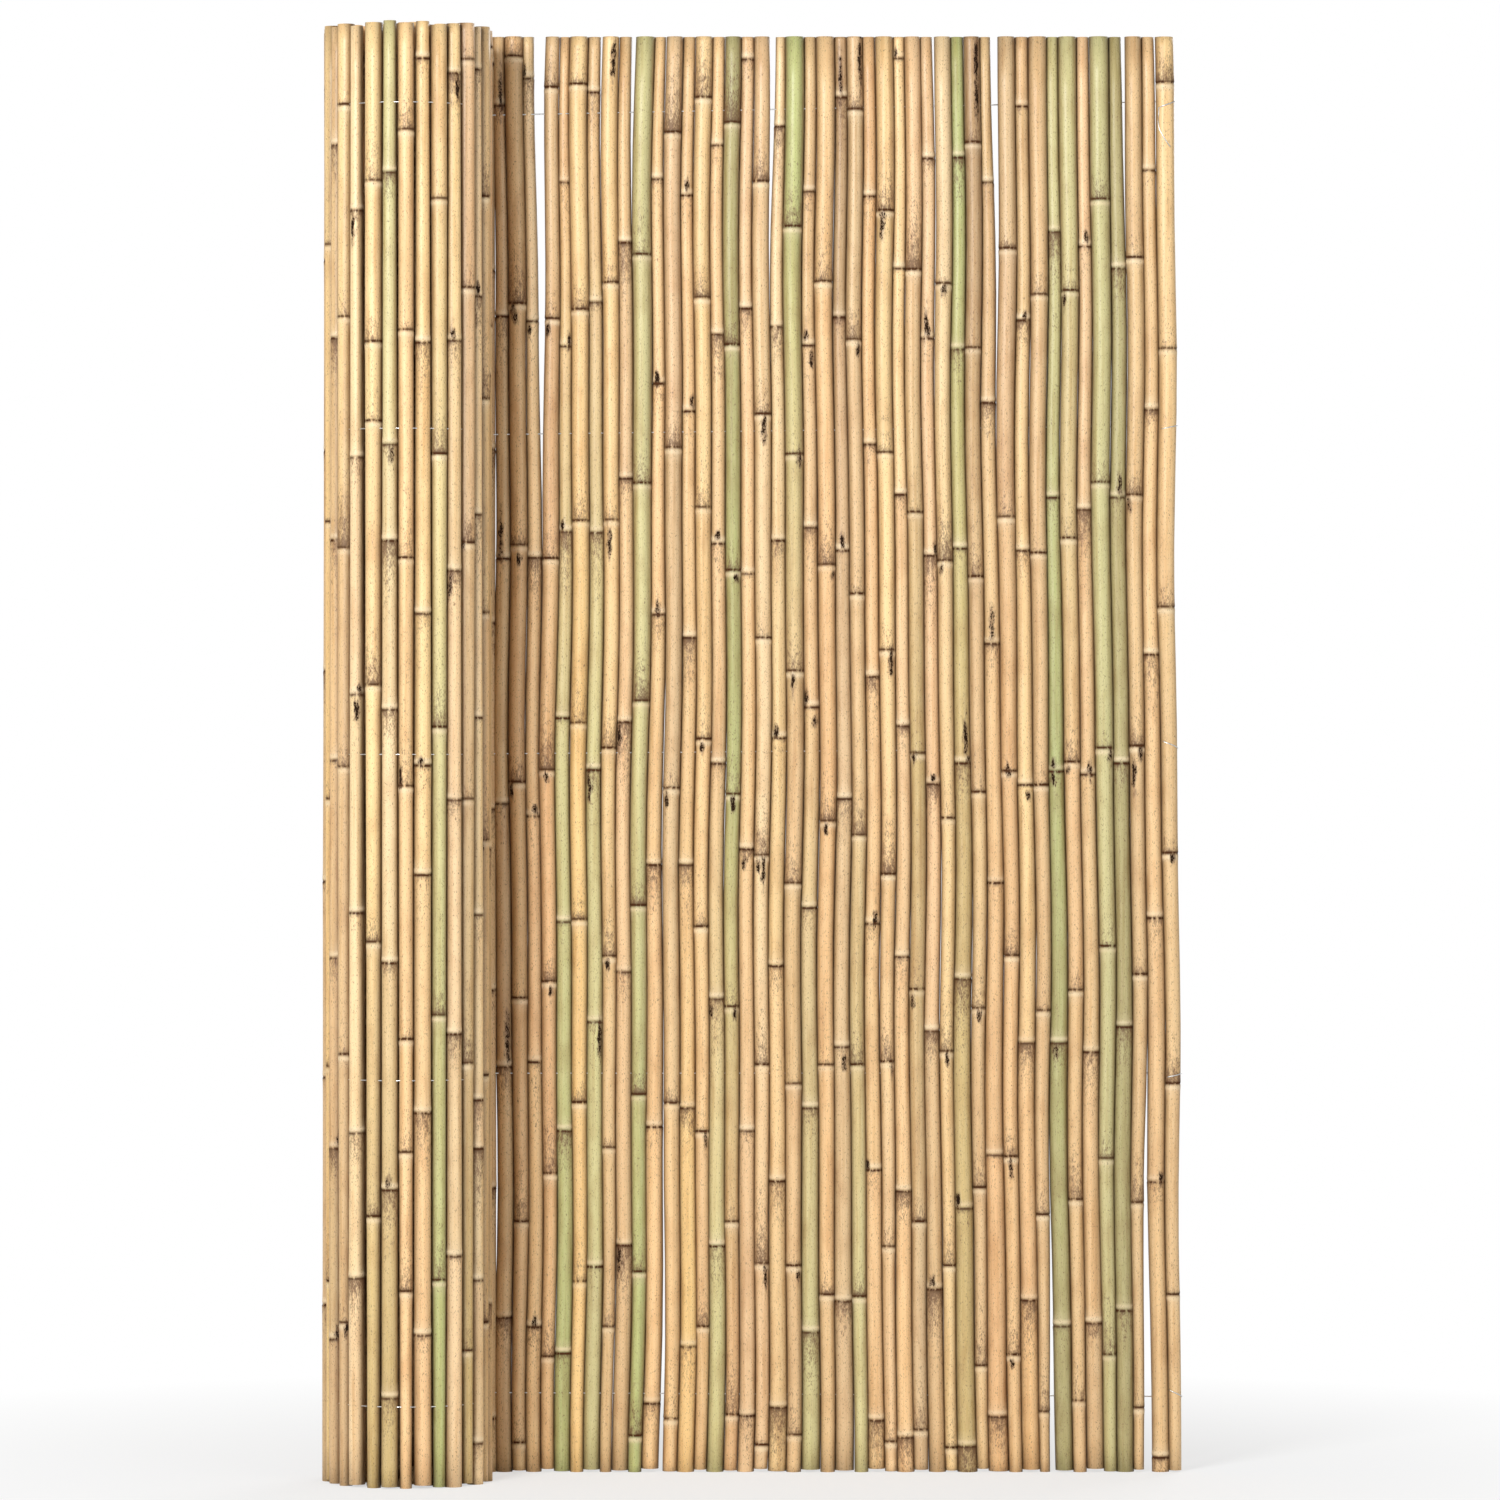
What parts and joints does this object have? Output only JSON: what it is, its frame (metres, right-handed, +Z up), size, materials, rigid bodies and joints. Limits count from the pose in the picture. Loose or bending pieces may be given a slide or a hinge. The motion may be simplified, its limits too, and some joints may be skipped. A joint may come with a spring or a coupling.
{
  "type": "rolled bamboo fence",
  "caption": "Upright bamboo fence of tapering canes threaded on galvanized wires, one end still rolled up and the rest standing open as a flat panel.",
  "frame": {"origin": "on the ground, under the middle of the fence's outline", "axes": "+X along the open part, away from the roll; +Y to the back, away from the roll's side; +Z up"},
  "size_m": [1.0892, 0.2258, 1.829],
  "materials": {
    "bamboo": "natural, half gloss",
    "wire": "galvanized"
  },
  "bodies": {
    "root": {"binding_wire_1": "wire", "binding_wire_2": "wire", "binding_wire_3": "wire", "binding_wire_4": "wire", "binding_wire_5": "wire", "cane_01": "bamboo", "cane_02": "bamboo", "cane_03": "bamboo", "cane_04": "bamboo", "cane_05": "bamboo", "cane_06": "bamboo", "cane_07": "bamboo", "cane_08": "bamboo", "cane_09": "bamboo", "cane_10": "bamboo", "cane_11": "bamboo", "cane_12": "bamboo", "cane_13": "bamboo", "cane_14": "bamboo", "cane_15": "bamboo", "cane_16": "bamboo", "cane_17": "bamboo", "cane_18": "bamboo", "cane_19": "bamboo", "cane_20": "bamboo", "cane_21": "bamboo", "cane_22": "bamboo", "cane_23": "bamboo", "cane_24": "bamboo", "cane_25": "bamboo", "cane_26": "bamboo", "cane_27": "bamboo", "cane_28": "bamboo", "cane_29": "bamboo", "cane_30": "bamboo", "cane_31": "bamboo", "cane_32": "bamboo", "cane_33": "bamboo", "cane_34": "bamboo", "cane_35": "bamboo", "cane_36": "bamboo", "cane_37": "bamboo", "cane_38": "bamboo", "cane_39": "bamboo", "cane_40": "bamboo", "cane_41": "bamboo", "cane_42": "bamboo", "cane_43": "bamboo", "cane_44": "bamboo", "canes_behind_roll": "bamboo", "roll_turn_1": "bamboo", "roll_turn_2": "bamboo", "roll_turn_3": "bamboo", "roll_turn_4": "bamboo"}
  },
  "joints": []
}
